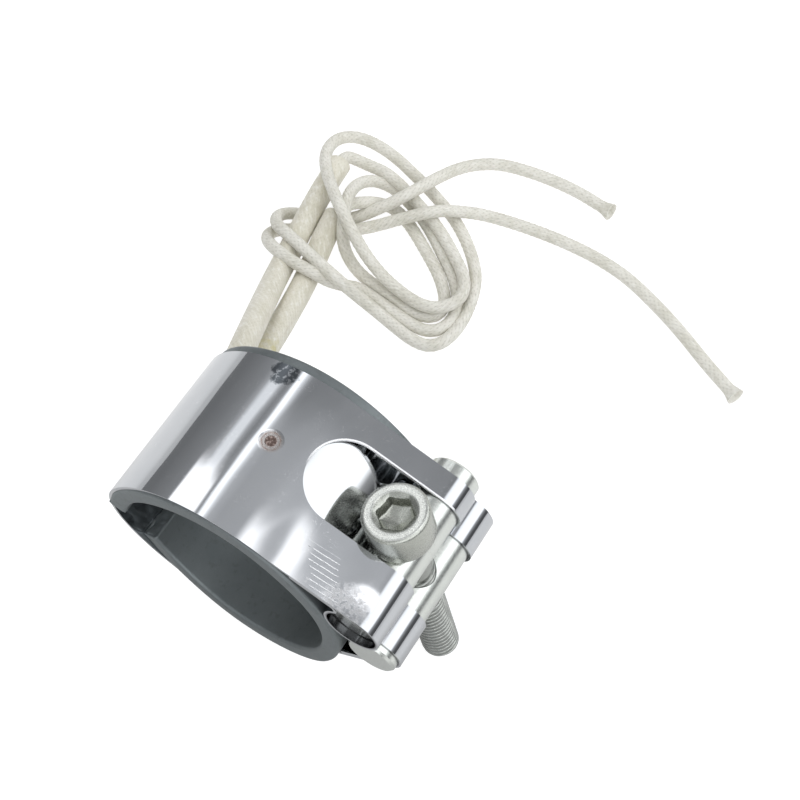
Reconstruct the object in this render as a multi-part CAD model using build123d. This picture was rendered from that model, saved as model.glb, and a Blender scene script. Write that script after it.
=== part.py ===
from build123d import *
import math
import os

# A nozzle band heater: a split mica heater ring with a clamp strap, two barrel
# pins and a socket head screw, and two braided leads that leave at the gap.
# The ring's axis is Y, the front rim is at low Y, the clamp is at high X, Z is up.
# The origin is on the axis of the bore. Lengths are millimetres, angles degrees.

# Heater ring
bore_radius = 17.5
ring_front = -13.5
ring_width = 28.5
ring_skew = 2.6
sheath_wall = 0.4
hem_width = 3.6
layer_gap = 0.02
inner_mica_wall = 0.4
core_mica_wall = 0.5
outer_mica_wall = 0.5
outer_sheath_wall = 0.4
core_front = -10.1
core_width = 24.2
core_end_gap = 0.5
upper_end_angle = 168
lower_end_angle = 209

# Resistance ribbon
ribbon_wall = 0.12
ribbon_width = 2.0
ribbon_pitch = 3.1
ribbon_margin = 1.4

# Clamp strap
strap_wall = 0.5
strap_front = -13.2
strap_width = 26.4
strap_skew = 2.5
skew_start = 10.0
tab_length = 7.0
tab_bend = 1.0
slot_width = 12.7
slot_centre = 2.65
slot_start = 6.5
roll_gap = 0.02

# Barrels and screw
clamp_angle = 12
roll_clearance = 0.056
barrel_spread = 5.25
barrel_radius = 4.0
barrel_length = 27.5
barrel_centre = 1.8
barrel_chamfer = 0.4
plain_hole_radius = 3.3
thread_radius = 3.0
running_gap = 0.05
screw_length = 35.0
tip_chamfer = 0.8
head_radius = 5.0
head_height = 6.0
head_chamfer = 0.6
socket_width = 5.0
socket_depth = 3.0

# Leads and sleeves
floor_level = -21.0
lead_radius = 1.1
sleeve_radius = 2.15
sleeve_bore = 1.3
cord_sides = 12
upper_lead_angle = 176.5
lower_lead_angle = 199
lead_start = 4.0
terminal_radius = 1.3
terminal_length = 5.0
tail_wall = 0.12
tail_width = 3.0
flare_radius = 1.7
flare_length = 3.0
flare_rise = 0.4
coil_gap = 0.3
sleeve_gap = 0.2
overrun = 1.0
arc_share = 0.45

# Radii worked out from the walls
channel_inner = bore_radius + sheath_wall
inner_mica_in = channel_inner + layer_gap
inner_mica_out = inner_mica_in + inner_mica_wall
ribbon_in = inner_mica_out + layer_gap
core_in = ribbon_in + ribbon_wall + layer_gap
core_out = core_in + core_mica_wall
ribbon_outer = core_out + layer_gap
ribbon_out = ribbon_outer + ribbon_wall
outer_mica_in = ribbon_out + layer_gap
outer_mica_out = outer_mica_in + outer_mica_wall
outer_sheath_in = outer_mica_out + layer_gap
outer_sheath_out = outer_sheath_in + outer_sheath_wall
channel_outer = outer_sheath_out + layer_gap
ring_radius = channel_outer + sheath_wall
strap_in = ring_radius + layer_gap
strap_out = strap_in + strap_wall
ring_back = ring_front + ring_width
core_back = core_front + core_width
roll_in = barrel_radius + roll_gap
roll_out = roll_in + strap_wall
barrel_reach = ring_radius + roll_clearance + roll_out
clamp_reach = math.sqrt(barrel_reach ** 2 - barrel_spread ** 2)


def on_circle(radius, angle, centre=(0, 0)):
    turn = math.radians(angle)
    return (centre[0] + radius * math.cos(turn), centre[1] + radius * math.sin(turn))


def section_plane(y):
    # A plane across the ring's axis, with its own X along X and its own Y along Z
    return Plane(origin=(0, y, 0), x_dir=(1, 0, 0), z_dir=(0, -1, 0))


def prism(face, y_low, y_high):
    # A flat X-Z outline carried along the ring's axis
    placed = section_plane(y_high) * face
    return extrude(placed, amount=y_high - y_low, dir=(0, -1, 0))


def arc_strip(r_low, r_high, a_low, a_high, centre=(0, 0)):
    # A piece of a flat ring between two angles
    middle = (a_low + a_high) / 2
    outer = ThreePointArc(on_circle(r_high, a_low, centre), on_circle(r_high, middle, centre),
                          on_circle(r_high, a_high, centre))
    inner = ThreePointArc(on_circle(r_low, a_high, centre), on_circle(r_low, middle, centre),
                          on_circle(r_low, a_low, centre))
    end = Line(on_circle(r_high, a_high, centre), on_circle(r_low, a_high, centre))
    start = Line(on_circle(r_low, a_low, centre), on_circle(r_high, a_low, centre))
    return make_face([outer, end, inner, start])


def quad(*points):
    return make_face(Polyline(*points, close=True))


def solid_of(shape):
    # The one solid of a result that holds exactly one
    solids = shape.solids()
    return solids[0] if len(solids) == 1 else Compound(solids)


def skew_block(y_low, y_high):
    # The space of the ring's lower half, whose rims slant from one side of the bore to the other
    reach = strap_out + overrun
    outline = Polyline((reach, y_low), (bore_radius, y_low), (-bore_radius, y_low + ring_skew),
                       (-reach, y_low + ring_skew), (-reach, y_high + ring_skew),
                       (-bore_radius, y_high + ring_skew), (bore_radius, y_high), (reach, y_high), close=True)
    face = Plane.XY * make_face(outline)
    return extrude(face, amount=-reach)


def ring_part(r_low, r_high, end_gap, y_low, y_high):
    # A split ring whose lower half is skewed along the axis towards its free end
    middle = (r_low + r_high) / 2
    trim = math.degrees(end_gap / middle)
    top = prism(arc_strip(r_low, r_high, 0, upper_end_angle - trim), y_low, y_high)
    low_face = arc_strip(r_low, r_high, lower_end_angle + trim, 360)
    low = prism(low_face, y_low - overrun, y_high + ring_skew + overrun)
    return top + (low & skew_block(y_low, y_high))


def layer(r_low, r_high, end_gap):
    # A straight split layer inside the channel
    middle = (r_low + r_high) / 2
    trim = math.degrees((sheath_wall + end_gap) / middle)
    face = arc_strip(r_low, r_high, lower_end_angle + trim, 360 + upper_end_angle - trim)
    return prism(face, core_front, core_back)


def build_inner_sheath():
    # Channel with closed ends and hems folded over the outer sheath
    body = ring_part(bore_radius, ring_radius, 0, ring_front, ring_back)
    cavity = ring_part(channel_inner, channel_outer, sheath_wall,
                       ring_front + sheath_wall, ring_back - sheath_wall)
    window = ring_part(channel_inner + sheath_wall, ring_radius + overrun, hem_width,
                       ring_front + hem_width, ring_back - hem_width)
    body = body - cavity - window
    for angle in (upper_end_angle, lower_end_angle):
        # Slots for the terminal tails in the end walls
        depth = math.degrees(2 * sheath_wall / ribbon_outer)
        face = arc_strip(ribbon_outer - layer_gap, ribbon_out + layer_gap, angle - depth, angle + depth)
        y_mid = terminal_middle()
        body = body - prism(face, y_mid - tail_width / 2 - layer_gap, y_mid + tail_width / 2 + layer_gap)
    return body


def terminal_middle():
    return lead_start - terminal_length / 2


def ribbon_angles():
    # Middle angles of the ribbon's turns, evenly spread between the ends
    trim = math.degrees((sheath_wall + core_end_gap + ribbon_margin) / core_out)
    first = lower_end_angle + trim
    last = 360 + upper_end_angle - trim
    pitch = math.degrees(ribbon_pitch / core_out)
    turns = int((last - first) / pitch)
    return [first + (last - first) * i / turns for i in range(turns + 1)]


def build_ribbon():
    # Flat ribbon wound round the core: straight inside and outside, stepping on at the front edge
    half = math.degrees(ribbon_width / 2 / core_out)
    angles = ribbon_angles()
    low = core_front + ribbon_wall + layer_gap
    high = core_back - ribbon_wall - layer_gap
    pieces = []
    # Steps have straight edges, so their inner corners stand out by the chord's height
    step_in = ribbon_in / math.cos(math.radians(half))
    for i, angle in enumerate(angles):
        inside = arc_strip(ribbon_in, ribbon_in + ribbon_wall, angle - half, angle + half)
        outside = arc_strip(ribbon_outer, ribbon_out, angle - half, angle + half)
        pieces.append(prism(inside, low, high))
        pieces.append(prism(outside, low, high))
        back = arc_strip(ribbon_in, ribbon_out, angle - half, angle + half)
        pieces.append(prism(back, high, high + ribbon_wall))
        if i + 1 < len(angles):
            after = angles[i + 1]
            step = quad(on_circle(ribbon_out, angle - half), on_circle(ribbon_out, angle + half),
                        on_circle(step_in, after + half), on_circle(step_in, after - half))
            pieces.append(prism(step, low - ribbon_wall, low))
    return pieces[0].fuse(*pieces[1:])


def build_core_mica():
    # The core is narrower than the channel by the ribbon that goes round its edges
    trim = math.degrees((sheath_wall + core_end_gap) / core_in)
    face = arc_strip(core_in, core_out, lower_end_angle + trim, 360 + upper_end_angle - trim)
    low = core_front + ribbon_wall + 2 * layer_gap
    high = core_back - ribbon_wall - 2 * layer_gap
    return prism(face, low, high)


def clamp_point(reach, height):
    # Reach is measured from the ring's axis along the clamp's middle, height across it
    turn = math.radians(clamp_angle)
    x = reach * math.cos(turn) - height * math.sin(turn)
    z = reach * math.sin(turn) + height * math.cos(turn)
    return (x, z)


def leg_frame(side):
    # Where the strap leaves the ring and meets its roll: side is 1 above, -1 below
    centre = clamp_point(clamp_reach, side * barrel_spread)
    distance = math.hypot(*centre)
    heading = math.degrees(math.atan2(centre[1], centre[0]))
    spread = math.degrees(math.acos((strap_out - roll_out) / distance))
    normal_angle = heading + side * spread
    length = math.sqrt(distance ** 2 - (strap_out - roll_out) ** 2)
    return centre, normal_angle, length


def local_points(side, points):
    # Points given along the leg from the roll's middle and outwards from it
    centre, angle, length = leg_frame(side)
    out = (math.cos(math.radians(angle)), math.sin(math.radians(angle)))
    along = (side * out[1], -side * out[0])
    return [(centre[0] + p * along[0] + q * out[0], centre[1] + p * along[1] + q * out[1])
            for p, q in points]


def local_arc(side, middle, radius_low, radius_high, start, stop):
    # A ring piece about a local point, angles measured from outwards towards along
    def at(radius, angle):
        turn = math.radians(angle)
        return (middle[0] + radius * math.sin(turn), middle[1] + radius * math.cos(turn))
    half = (start + stop) / 2
    outer = local_points(side, [at(radius_high, start), at(radius_high, half), at(radius_high, stop)])
    inner = local_points(side, [at(radius_low, stop), at(radius_low, half), at(radius_low, start)])
    return make_face([ThreePointArc(*outer), Line(outer[2], inner[0]),
                      ThreePointArc(*inner), Line(inner[2], outer[0])])


def strap_end(side):
    # Leg, roll round the barrel, reverse bend and welded tab, as flat outlines
    length = leg_frame(side)[2]
    leg = quad(*local_points(side, [(-length, roll_out), (0, roll_out), (0, roll_in), (-length, roll_in)]))
    wall_middle = (roll_in + roll_out) / 2
    tab_top = roll_in - layer_gap
    bend_out = tab_bend + strap_wall / 2
    bend_in = tab_bend - strap_wall / 2
    bend_height = tab_top - strap_wall / 2 - tab_bend
    bend_reach = math.sqrt((wall_middle + tab_bend) ** 2 - bend_height ** 2)
    turn = math.degrees(math.atan2(bend_reach, bend_height))
    roll = local_arc(side, (0, 0), roll_in, roll_out, 0, 360 - turn)
    bend = local_arc(side, (-bend_reach, bend_height), bend_in, bend_out, 0, 180 - turn)
    tab = quad(*local_points(side, [(-bend_reach - tab_length, tab_top), (-bend_reach, tab_top),
                                    (-bend_reach, tab_top - strap_wall),
                                    (-bend_reach - tab_length, tab_top - strap_wall)]))
    return leg, roll, bend, tab


def strap_skew_block():
    # The space of the strap's left half, whose edges slant downwards
    reach = strap_out + overrun
    drop = strap_front + strap_skew
    outline = Polyline((strap_front, reach), (strap_front, skew_start), (drop, -strap_in), (drop, -reach),
                       (drop + strap_width, -reach), (drop + strap_width, -strap_in),
                       (strap_front + strap_width, skew_start), (strap_front + strap_width, reach),
                       close=True)
    face = Plane.YZ * make_face(outline)
    return extrude(face, amount=-reach)


def slot_tool(side):
    # A long slot with a round end, across the leg, the tab and the whole roll
    low = slot_centre - slot_width / 2
    high = slot_centre + slot_width / 2
    start = slot_start - leg_frame(side)[2]
    deep = roll_in - 2 * strap_wall - overrun
    top = roll_out + overrun
    end = roll_out + overrun
    flat = quad(*local_points(side, [(start, top), (0, top), (0, deep), (start, deep)]))
    box = prism(flat, low, high)
    round_part = quad(*local_points(side, [(0, top), (end, top), (end, -end), (-end, -end), (-end, deep),
                                           (0, deep)]))
    roll_box = prism(round_part, low, high)
    a, b = local_points(side, [(start, deep), (start, top)])
    axis = (b[0] - a[0], 0, b[1] - a[1])
    plane = Plane(origin=(a[0], slot_centre, a[1]), z_dir=axis)
    cylinder = extrude(plane * Circle(slot_width / 2), amount=top - deep)
    return box + roll_box + cylinder


def build_strap():
    upper_angle = leg_frame(1)[1]
    lower_angle = leg_frame(-1)[1]
    y_low = strap_front
    y_high = strap_front + strap_width
    top = prism(arc_strip(strap_in, strap_out, upper_angle, 90), y_low, y_high)
    left = prism(arc_strip(strap_in, strap_out, 90, 270), y_low - overrun, y_high + strap_skew + overrun)
    left = left & strap_skew_block()
    bottom = prism(arc_strip(strap_in, strap_out, 270, 360 + lower_angle), y_low + strap_skew,
                   y_high + strap_skew)
    body = top + left + bottom
    for side, shift in ((1, 0), (-1, strap_skew)):
        pieces = [prism(face, y_low + shift, y_high + shift) for face in strap_end(side)]
        end = pieces[0] + pieces[1] + pieces[2] + pieces[3]
        body = body + (end - slot_tool(side))
    return body


def clamp_plane(height, y):
    # A plane across the screw's axis
    x, z = clamp_point(clamp_reach, height)
    up = (-math.sin(math.radians(clamp_angle)), 0, math.cos(math.radians(clamp_angle)))
    return Plane(origin=(x, y, z), x_dir=(0, 1, 0), z_dir=up)


def build_barrel(side, hole_radius):
    x, z = clamp_point(clamp_reach, side * barrel_spread)
    plane = Plane(origin=(x, barrel_centre - barrel_length / 2, z), z_dir=(0, 1, 0))
    body = extrude(plane * Circle(barrel_radius), amount=barrel_length)
    body = chamfer(body.edges().filter_by(GeomType.CIRCLE), barrel_chamfer)
    low = side * barrel_spread - barrel_radius - overrun
    hole = extrude(clamp_plane(low, barrel_centre) * Circle(hole_radius),
                   amount=2 * (barrel_radius + overrun))
    return body - hole


def build_screw():
    seat = barrel_spread + barrel_radius + running_gap
    head = extrude(clamp_plane(seat, barrel_centre) * Circle(head_radius), amount=head_height)
    rim = head.edges().filter_by(GeomType.CIRCLE).sort_by(Axis.Z)[-1]
    head = chamfer(rim, head_chamfer)
    socket = extrude(clamp_plane(seat + head_height - socket_depth, barrel_centre)
                     * RegularPolygon(socket_width / 2, 6, major_radius=False),
                     amount=socket_depth + overrun)
    shank_low = seat - screw_length
    shank = extrude(clamp_plane(shank_low, barrel_centre) * Circle(thread_radius), amount=screw_length)
    tip = shank.edges().filter_by(GeomType.CIRCLE).sort_by(Axis.Z)[0]
    shank = chamfer(tip, tip_chamfer)
    return head - socket + shank


def lead_radius_place():
    # Leads lie in the middle of the wall's depth
    return (bore_radius + ring_radius) / 2


def build_terminal(angle, end_angle, way):
    # A crimp barrel in the gap with a flat tail that reaches the ribbon's end turn
    place = lead_radius_place()
    x, z = on_circle(place, angle)
    plane = Plane(origin=(x, lead_start - terminal_length, z), z_dir=(0, 1, 0))
    barrel = extrude(plane * Circle(terminal_radius), amount=terminal_length)
    angles = ribbon_angles()
    half = math.degrees(ribbon_width / 2 / core_out)
    if way > 0:
        stop = angles[0] - half
        face = arc_strip(ribbon_outer, ribbon_out, angle, stop)
    else:
        stop = angles[-1] - 360 + half
        face = arc_strip(ribbon_outer, ribbon_out, stop, angle)
    middle = terminal_middle()
    tail = prism(face, middle - tail_width / 2, middle + tail_width / 2)
    return barrel + tail


def rounded_path(points, label):
    # Straight runs joined by the largest tangent arcs that the runs allow
    corners = [Vector(*p) for p in points]
    radii = []
    for before, here, after in zip(corners, corners[1:], corners[2:]):
        first = here - before
        second = after - here
        turn = first.get_angle(second)
        shorter = min(first.length, second.length)
        radii.append(arc_share * shorter / math.tan(math.radians(turn) / 2))
    print(label, "radii", [round(r, 1) for r in radii])
    return FilletPolyline(*points, radius=radii)


def tube(path, outer, inner=0):
    # A section with many flat sides carried along the path, which keeps its mesh light
    plane = Plane(origin=path @ 0, z_dir=path % 0)
    section = RegularPolygon(outer, cord_sides)
    if inner:
        section = section - RegularPolygon(inner, cord_sides)
    body = sweep(plane * section, path=path)
    print("  length", round(path.length, 1), "volume ratio", round(body.volume / section.area / path.length, 4))
    return body


upper_x, upper_z = on_circle(lead_radius_place(), upper_lead_angle)
lower_x, lower_z = on_circle(lead_radius_place(), lower_lead_angle)
sleeve_start = ring_back + ring_skew + sleeve_gap
long_points = [
    (upper_x, sleeve_start, upper_z),
    (-20.2, 22.0, -0.3),
    (-22.3, 27.0, -3.6),
    (-25.3, 33.5, -8.9),
    (-28.0, 39.8, -13.4),
    (-29.9, 46.2, -15.9),
    (-31.3, 53.0, -16.6),
    (-32.4, 59.4, -16.7),
    (-33.3, 65.1, -17.1),
    (-33.8, 70.1, -17.6),
]
short_points = [
    (lower_x, sleeve_start, lower_z),
    (-19.1, 22.0, -7.2),
    (-20.2, 26.9, -9.3),
    (-21.6, 32.1, -12.1),
    (-23.2, 38.3, -14.7),
    (-24.5, 44.1, -16.2),
    (-25.9, 50.0, -16.6),
    (-27.2, 55.4, -16.6),
    (-27.8, 59.6, -16.6),
]

lead_floor = floor_level + lead_radius
tail_one_points = [
    (-16.9, 77.8, -18.4),
    (-15.8, 81.3, -19.6),
    (-13.6, 84.2, lead_floor),
    (-9.9, 86.8, lead_floor),
    (-4.6, 88.2, lead_floor),
    (1.0, 88.9, lead_floor),
    (5.9, 89.0, lead_floor),
    (10.2, 88.3, lead_floor + flare_rise),
]
tail_two_points = [
    (-10.6, 72.0, -17.6),
    (-7.3, 75.0, -19.5),
    (-3.0, 76.4, lead_floor),
    (2.4, 77.4, lead_floor),
    (8.5, 78.1, lead_floor),
    (15.4, 78.3, lead_floor),
    (22.1, 77.5, lead_floor),
    (29.4, 75.0, lead_floor),
    (36.0, 72.2, lead_floor),
    (41.6, 69.3, lead_floor),
    (46.6, 66.9, lead_floor + flare_rise),
]

# The leads' loose turns: their outer edge and their opening in plan, then their top edge from the side
coil_outline = [
    (3.1, 54.0), (2.9, 57.6), (1.9, 61.2), (0.2, 64.5), (-2.3, 67.2), (-5.0, 69.8), (-8.0, 72.2),
    (-9.0, 74.3), (-13.0, 74.6), (-15.6, 76.0), (-15.4, 78.6), (-18.2, 79.0), (-20.0, 77.2),
    (-25.4, 78.9), (-29.5, 79.7), (-33.3, 79.8), (-37.0, 78.9), (-39.2, 75.5), (-38.9, 71.0),
    (-36.9, 66.6), (-36.6, 62.0), (-38.0, 58.0), (-38.7, 55.4), (-38.1, 50.6), (-36.4, 47.6),
    (-33.8, 45.8), (-30.5, 44.6), (-25.3, 43.9), (-21.0, 44.8), (-17.5, 46.2), (-14.1, 46.4),
    (-11.2, 46.4), (-7.6, 45.8), (-3.9, 45.0), (-0.3, 45.3), (2.0, 47.4), (3.0, 50.6),
]
coil_opening = [
    (-24.0, 58.9), (-21.7, 61.4), (-17.6, 64.2), (-12.8, 62.9), (-7.4, 59.3), (-5.4, 57.5),
    (-4.4, 55.4), (-6.5, 53.5), (-12.0, 54.1), (-17.8, 56.0), (-21.2, 57.4),
]
coil_top = [
    (5.0, -16.6), (-8.0, -16.2), (-13.0, -15.4), (-17.0, -13.4), (-21.0, -11.2),
    (-29.0, -11.4), (-33.5, -12.8), (-37.5, -16.0), (-41.0, -17.6),
]


def build_coil(sleeves):
    # The outer shape of both leads' loose turns, which pass under and over the sleeves
    outer = make_face(Polyline(*coil_outline, close=True))
    opening = make_face(Polyline(*coil_opening, close=True))
    rows = [y for x, y in coil_outline]
    side = make_face(Polyline((coil_top[0][0], floor_level), *coil_top, (coil_top[-1][0], floor_level),
                              close=True))
    body = prism(side, min(rows) - overrun, max(rows) + overrun)
    flat = Location((0, 0, floor_level)) * (outer - opening)
    body = body & extrude(flat, amount=-floor_level)
    for sleeve in sleeves:
        body = body - sleeve
    return body


def write(name, shape):
    shape.label = name
    export_step(shape, os.path.join("parts", name + ".step"))


def main():
    os.makedirs("parts", exist_ok=True)
    write("inner_sheath", solid_of(build_inner_sheath()))
    write("inner_mica", solid_of(layer(inner_mica_in, inner_mica_out, core_end_gap)))
    write("core_mica", solid_of(build_core_mica()))
    write("resistance_ribbon", solid_of(build_ribbon()))
    write("outer_mica", solid_of(layer(outer_mica_in, outer_mica_out, core_end_gap)))
    write("outer_sheath", solid_of(layer(outer_sheath_in, outer_sheath_out, core_end_gap)))
    write("clamp_strap", solid_of(build_strap()))
    write("plain_barrel", solid_of(build_barrel(1, plain_hole_radius)))
    write("threaded_barrel", solid_of(build_barrel(-1, thread_radius + running_gap)))
    write("clamp_screw", solid_of(build_screw()))
    write("upper_terminal", solid_of(build_terminal(upper_lead_angle, upper_end_angle, -1)))
    write("lower_terminal", solid_of(build_terminal(lower_lead_angle, lower_end_angle, 1)))

    long_path = rounded_path(long_points, "long sleeve")
    short_path = rounded_path(short_points, "short sleeve")
    write("long_sleeve", solid_of(tube(long_path, sleeve_radius, sleeve_bore)))
    write("short_sleeve", solid_of(tube(short_path, sleeve_radius, sleeve_bore)))
    for name, path, x, z in (("upper_lead_run", long_path, upper_x, upper_z),
                             ("lower_lead_run", short_path, lower_x, lower_z)):
        stub = Line((x, lead_start, z), (x, sleeve_start, z))
        run = tube(path, lead_radius) + tube(stub, lead_radius)
        write(name, solid_of(run))
    hollows = [tube(path, sleeve_radius + coil_gap) for path in (long_path, short_path)]
    write("lead_coil", solid_of(build_coil(hollows)))
    for name, points in (("upper_lead_tail", tail_one_points), ("lower_lead_tail", tail_two_points)):
        path = rounded_path(points, name)
        body = tube(path, lead_radius)
        plane = Plane(origin=path @ 1, z_dir=path % 1)
        cone = loft([plane * RegularPolygon(lead_radius, cord_sides),
                     plane.offset(flare_length) * RegularPolygon(flare_radius, cord_sides)])
        write(name, solid_of(body + cone))


main()
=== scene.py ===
# %% Nozzle band heater: the look of every surface
import math
import bmesh
import bpy
import numpy as np
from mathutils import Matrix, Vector


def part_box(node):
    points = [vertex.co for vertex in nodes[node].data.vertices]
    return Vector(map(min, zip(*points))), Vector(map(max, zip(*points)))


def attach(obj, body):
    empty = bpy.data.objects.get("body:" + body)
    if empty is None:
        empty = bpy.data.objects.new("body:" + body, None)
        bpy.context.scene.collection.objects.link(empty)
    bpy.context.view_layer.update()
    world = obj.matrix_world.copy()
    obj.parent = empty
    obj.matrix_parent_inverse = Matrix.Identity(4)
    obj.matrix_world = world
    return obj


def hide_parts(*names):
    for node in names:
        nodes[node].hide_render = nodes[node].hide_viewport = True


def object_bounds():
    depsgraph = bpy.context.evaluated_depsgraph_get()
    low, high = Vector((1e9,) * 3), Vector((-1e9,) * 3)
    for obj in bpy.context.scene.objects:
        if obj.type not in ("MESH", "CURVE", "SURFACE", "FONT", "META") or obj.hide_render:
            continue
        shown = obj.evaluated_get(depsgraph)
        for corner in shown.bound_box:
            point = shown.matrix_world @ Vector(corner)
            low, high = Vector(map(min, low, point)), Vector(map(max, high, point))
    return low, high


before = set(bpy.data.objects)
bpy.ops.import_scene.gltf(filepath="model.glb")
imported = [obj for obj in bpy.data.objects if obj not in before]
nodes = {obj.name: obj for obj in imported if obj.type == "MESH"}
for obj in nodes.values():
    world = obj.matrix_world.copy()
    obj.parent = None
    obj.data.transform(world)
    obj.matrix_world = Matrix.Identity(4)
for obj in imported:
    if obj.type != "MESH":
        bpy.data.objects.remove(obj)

MM = 0.001
scene = bpy.context.scene
cad_box = [list(corner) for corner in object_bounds()]
print("nodes loaded:", len(nodes))

# %% [markdown]
# The camera comes first, because every route and mark is judged through it. It was fitted to
# the ring's two rims and the screw: a long lens held high over the front right of the heater.

# %% Camera
CAMERA_PLACE = (70.94, -77.36, 228.09)
CAMERA_AZIMUTH = 31.92
CAMERA_ELEVATION = 61.88
camera_data = bpy.data.cameras.new("camera")
camera_data.lens = 74.1
camera_data.sensor_width = 36
camera_data.clip_start = 0.01
camera_data.clip_end = 20
camera = bpy.data.objects.new("camera", camera_data)
camera.location = [v * MM for v in CAMERA_PLACE]
camera.rotation_euler = (math.radians(90 - CAMERA_ELEVATION), 0, math.radians(CAMERA_AZIMUTH))
scene.collection.objects.link(camera)
scene.camera = camera
scene.view_settings.view_transform = "Standard"
print("camera at", CAMERA_PLACE, "mm")

# %% [markdown]
# A material is a net of nodes, and arithmetic keeps it readable: a Wire stands for one socket,
# and every sum on it adds a Math node. A Paint holds one material and adds any other node.

# %% Wire and Paint


class Wire:
    """A number that runs through a material: sums on it add Math nodes."""

    def __init__(self, paint, socket):
        self.paint = paint
        self.socket = socket

    def maths(self, operation, *values):
        return self.paint.node("ShaderNodeMath", {"operation": operation}, dict(enumerate(values)))

    def __add__(self, other):
        return self.maths("ADD", self, other)

    def __sub__(self, other):
        return self.maths("SUBTRACT", self, other)

    def __rsub__(self, other):
        return self.maths("SUBTRACT", other, self)

    def __mul__(self, other):
        return self.maths("MULTIPLY", self, other)

    def __truediv__(self, other):
        return self.maths("DIVIDE", self, other)

    __radd__ = __add__
    __rmul__ = __mul__

    def size(self):
        return self.maths("ABSOLUTE", self)

    def fraction(self):
        return self.maths("FRACT", self)

    def most(self, other):
        return self.maths("MAXIMUM", self, other)

    def step(self, low, high):
        """0 below low, 1 above high and smooth between; falls instead if low is above high."""
        first, last = min(low, high), max(low, high)
        ends = (0.0, 1.0) if low < high else (1.0, 0.0)
        return self.paint.node("ShaderNodeMapRange", {"interpolation_type": "SMOOTHSTEP"},
                               {"Value": self, "From Min": first, "From Max": last,
                                "To Min": ends[0], "To Max": ends[1]})


class Paint:
    """One node tree, filled through node()."""

    def __init__(self, tree):
        self.tree = tree
        self.tree.nodes.clear()

    def node(self, kind, settings=None, sockets=None, out=0):
        made = self.tree.nodes.new(kind)
        for name, value in (settings or {}).items():
            if name == "stops":
                ramp = made.color_ramp
                while len(ramp.elements) < len(value):
                    ramp.elements.new(0.5)
                for element, (place, colour) in zip(ramp.elements, value):
                    element.position = place
                    element.color = (*colour, 1)
            else:
                setattr(made, name, value)
        for name, value in (sockets or {}).items():
            self.set(made.inputs[name], value)
        return Wire(self, made.outputs[out]) if len(made.outputs) else made

    def set(self, socket, value):
        if isinstance(value, Wire):
            self.tree.links.new(value.socket, socket)
        elif isinstance(value, (tuple, list)) and len(value) == 3 and socket.type == "RGBA":
            socket.default_value = (*value, 1)
        else:
            socket.default_value = value

    def mix(self, mask, first, second):
        """first where the mask is 0, second where it is 1, as colours."""
        return self.node("ShaderNodeMix", {"data_type": "RGBA"}, {0: mask, 6: first, 7: second}, out=2)

    def place(self):
        return self.node("ShaderNodeTexCoord", out="Object")

    def axes(self, vector):
        split = self.tree.nodes.new("ShaderNodeSeparateXYZ")
        self.set(split.inputs[0], vector)
        return [Wire(self, socket) for socket in split.outputs]

    def vector(self, operation, first, second, out=0):
        return self.node("ShaderNodeVectorMath", {"operation": operation}, {0: first, 1: second}, out=out)

    def reach(self, spot):
        """Distance in millimetres from a spot given in millimetres."""
        far = self.vector("DISTANCE", self.place(), [v * MM for v in spot], out="Value")
        return far / MM

    def noise(self, per_mm, detail=4.0, rough=0.55, stretch=(1, 1, 1)):
        """Noise with so many cells in a millimetre, stretched along the axes."""
        scaled = self.vector("MULTIPLY", self.place(), stretch)
        return self.node("ShaderNodeTexNoise", None, {"Vector": scaled, "Scale": per_mm / MM,
                                                      "Detail": detail, "Roughness": rough})

    def bump(self, height, distance_mm, strength):
        return self.node("ShaderNodeBump", None, {"Height": height, "Distance": distance_mm * MM,
                                                  "Strength": strength})

    def finish(self, **sockets):
        named = {key.replace("_", " "): value for key, value in sockets.items()}
        shader = self.node("ShaderNodeBsdfPrincipled", None, named)
        self.node("ShaderNodeOutputMaterial", None, {"Surface": shader})


def material(name):
    made = bpy.data.materials.new(name)
    made.use_nodes = True
    return made, Paint(made.node_tree)


def dress(piece, made):
    piece.data.materials.clear()
    piece.data.materials.append(made)


# %% [markdown]
# The floor is a plain pale sheet. The camera sees it as white, and a mirror sees a grey table
# with painted light on it: a falloff that darkens it with distance and a painted shadow in front of the
# heater.

# %% Floor
floor_level = cad_box[0][2]
FLOOR_HALF = 3.0
SEEN_GLOW = 0.86
MIRRORED_GLOW = 0.66
floor_mesh = bpy.data.meshes.new("floor")
corners = [(x * FLOOR_HALF, y * FLOOR_HALF, floor_level) for x, y in ((-1, -1), (1, -1), (1, 1), (-1, 1))]
floor_mesh.from_pydata(corners, [], [(0, 1, 2, 3)])
floor = bpy.data.objects.new("floor", floor_mesh)
scene.collection.objects.link(floor)
floor_material, paint = material("floor")
painted_falloff_reach = paint.reach((0, 30, -21))
painted_shadow_reach = paint.reach((8, -32, -21))
seen = paint.node("ShaderNodeLightPath", out="Is Camera Ray")
# Painted light for mirrors only: the table's glow falls off with distance and has a painted shadow in
# front of the heater.
table = MIRRORED_GLOW - 0.28 * painted_falloff_reach.step(120, 420) - 0.40 * painted_shadow_reach.step(80, 26)
glow = seen * (SEEN_GLOW - table) + table
glow = paint.node("ShaderNodeCombineColor", None, {0: glow, 1: glow, 2: glow})
paint.finish(Base_Color=(0.32, 0.32, 0.32), Roughness=0.9, Emission_Color=glow, Emission_Strength=1.0)
dress(floor, floor_material)
print("floor at", round(floor_level / MM, 2), "mm")

# %% [markdown]
# On a band round the Y axis a mirrored direction turns twice as fast as the band does. So the
# room is given by its light at each turn round that axis, while the camera sees plain white.

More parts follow.
